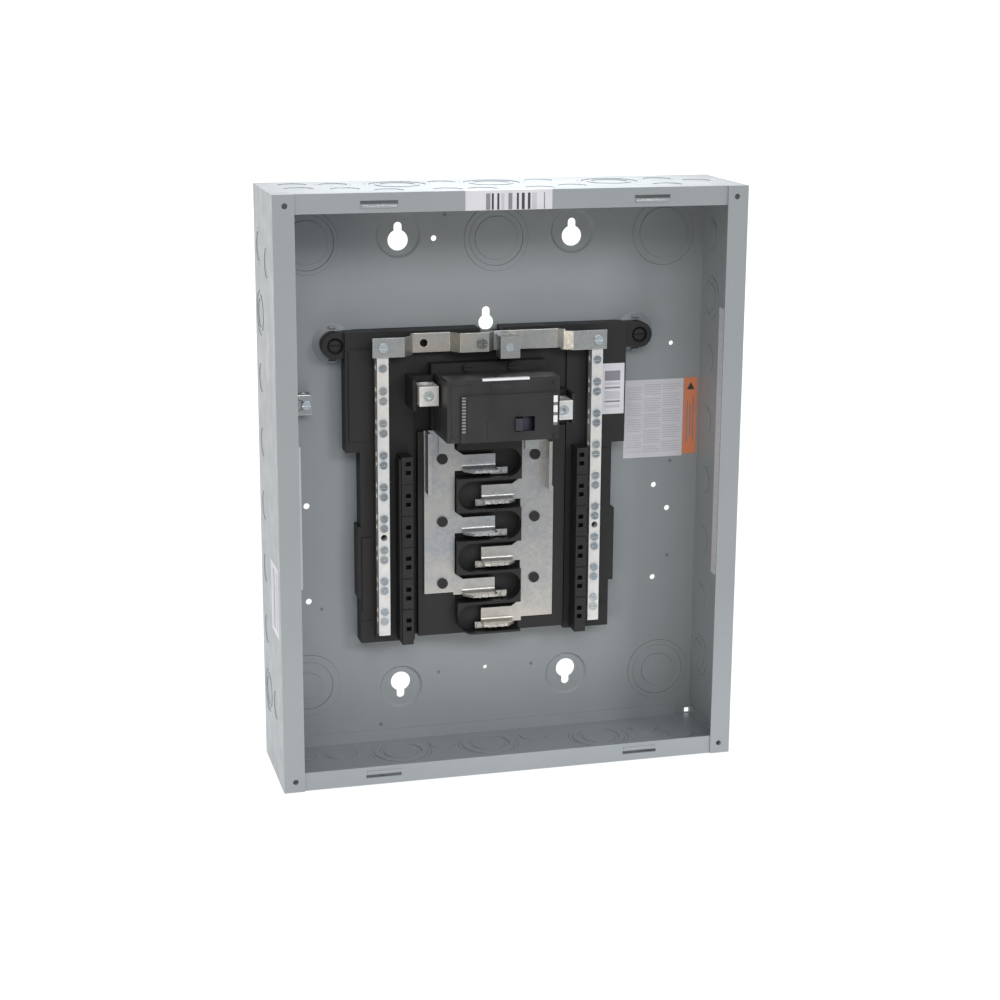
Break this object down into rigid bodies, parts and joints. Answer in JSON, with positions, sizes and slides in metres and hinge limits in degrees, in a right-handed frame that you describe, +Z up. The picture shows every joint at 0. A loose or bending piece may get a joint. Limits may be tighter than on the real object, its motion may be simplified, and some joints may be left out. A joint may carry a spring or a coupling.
{
  "type": "residential load center",
  "caption": "Shallow steel enclosure, open at the front, with a moulded bus interior, neutral bars and a horizontal two-pole main breaker.",
  "frame": {"origin": "middle of the underside, half-way between the front flanges and the rear of the mounting dimples", "axes": "+X to the right seen from the front, +Y towards the wall behind, +Z up"},
  "size_m": [0.3621, 0.094, 0.455],
  "materials": {
    "enclosure_paint": "satin grey powder coat",
    "black_moulding": "black moulded, fine matt texture",
    "breaker_moulding": "charcoal moulded",
    "handle_moulding": "dark, slightly glossy",
    "tin_plate": "dull tin plate",
    "aluminium_bar": "extruded, dull",
    "zinc_screws": "clear zinc",
    "contact_copper": "bare copper alloy",
    "label_paper": "white film label",
    "orange_film": "orange film"
  },
  "bodies": {
    "panel": {"enclosure_wrap": "enclosure_paint", "top_end_wall": "enclosure_paint", "bottom_end_wall": "enclosure_paint", "top_knockouts": "enclosure_paint", "bottom_knockouts": "enclosure_paint", "left_knockouts": "enclosure_paint", "right_knockouts": "enclosure_paint", "back_knockouts": "enclosure_paint", "interior_base": "black_moulding", "left_breaker_rail": "black_moulding", "right_breaker_rail": "black_moulding", "bus_support": "black_moulding", "lug_fences": "black_moulding", "bus_rivets": "black_moulding", "interior_mounting_screws": "black_moulding", "breaker_hold_down_screws": "black_moulding", "breaker_case": "breaker_moulding", "breaker_cover": "breaker_moulding", "breaker_cover_rivets": "breaker_moulding", "left_bus_bar": "tin_plate", "right_bus_bar": "tin_plate", "stab_rivets": "tin_plate", "neutral_cross_strap": "tin_plate", "neutral_lug": "tin_plate", "ground_lug": "tin_plate", "left_load_strap": "tin_plate", "right_load_strap": "tin_plate", "left_neutral_bar": "aluminium_bar", "right_neutral_bar": "aluminium_bar", "left_line_lug": "aluminium_bar", "right_line_lug": "aluminium_bar", "ground_lug_screw": "zinc_screws", "left_terminal_screws": "zinc_screws", "right_terminal_screws": "zinc_screws", "strap_screws": "zinc_screws", "bonding_screw": "zinc_screws", "handle_pivot_pin": "zinc_screws", "contact_arm_pin": "zinc_screws", "arc_chutes": "zinc_screws", "upper_fixed_contact": "contact_copper", "lower_fixed_contact": "contact_copper", "bimetal_trips": "contact_copper", "breaker_marking_strips": "label_paper", "flange_label": "label_paper", "wing_label": "label_paper", "caution_label": "label_paper", "directory_label": "label_paper", "back_wall_label": "label_paper", "outside_label": "label_paper", "caution_stripe": "orange_film"},
    "handle": {"breaker_handle": "handle_moulding"},
    "upper_arm": {"upper_contact_arm": "contact_copper"},
    "lower_arm": {"lower_contact_arm": "contact_copper"},
    "left_pad": {"left_lug_pad": "zinc_screws"},
    "left_screw": {"left_lug_screw": "zinc_screws"},
    "right_pad": {"right_lug_pad": "zinc_screws"},
    "right_screw": {"right_lug_screw": "zinc_screws"},
    "neutral_pad": {"neutral_lug_pad": "zinc_screws"},
    "neutral_screw": {"neutral_lug_screw": "zinc_screws"}
  },
  "joints": [
    {"name": "handle_throw", "type": "hinge", "parent": "panel", "child": "handle", "pos_m": [0.0122, -0.014, 0.276], "axis": [0, 0, 1], "range_deg": [0, 32]},
    {"name": "upper_contact", "type": "hinge", "parent": "panel", "child": "upper_arm", "pos_m": [0, 0.002, 0.297], "axis": [0, 0, 1], "range_deg": [-16.5, 0]},
    {"name": "lower_contact", "type": "hinge", "parent": "panel", "child": "lower_arm", "pos_m": [0, 0.002, 0.2749], "axis": [0, 0, 1], "range_deg": [0, 16.5]},
    {"name": "left_pad_slide", "type": "slide", "parent": "panel", "child": "left_pad", "axis": [0, 1, 0], "range_m": [0, 0.005]},
    {"name": "left_screw_turn", "type": "hinge", "parent": "left_pad", "child": "left_screw", "pos_m": [-0.0577, -0.005, 0.296], "axis": [0, 1, 0], "range_deg": [0, 1212]},
    {"name": "right_pad_slide", "type": "slide", "parent": "panel", "child": "right_pad", "axis": [0, 1, 0], "range_m": [0, 0.005]},
    {"name": "right_screw_turn", "type": "hinge", "parent": "right_pad", "child": "right_screw", "pos_m": [0.0493, -0.005, 0.2802], "axis": [0, 1, 0], "range_deg": [0, 1212]},
    {"name": "neutral_pad_slide", "type": "slide", "parent": "panel", "child": "neutral_pad", "axis": [0, 1, 0], "range_m": [0, 0.003]},
    {"name": "neutral_screw_turn", "type": "hinge", "parent": "neutral_pad", "child": "neutral_screw", "pos_m": [0.00975, 0.0073, 0.329], "axis": [0, 1, 0], "range_deg": [0, 1090.8]}
  ],
  "couplings": [
    {"joint": "upper_contact", "follows": "handle_throw", "ratio": -0.5},
    {"joint": "lower_contact", "follows": "handle_throw", "ratio": 0.5},
    {"joint": "left_screw_turn", "follows": "left_pad_slide", "rad_per_m": 4188.8},
    {"joint": "right_screw_turn", "follows": "right_pad_slide", "rad_per_m": 4188.8},
    {"joint": "neutral_screw_turn", "follows": "neutral_pad_slide", "rad_per_m": 6283.2}
  ]
}
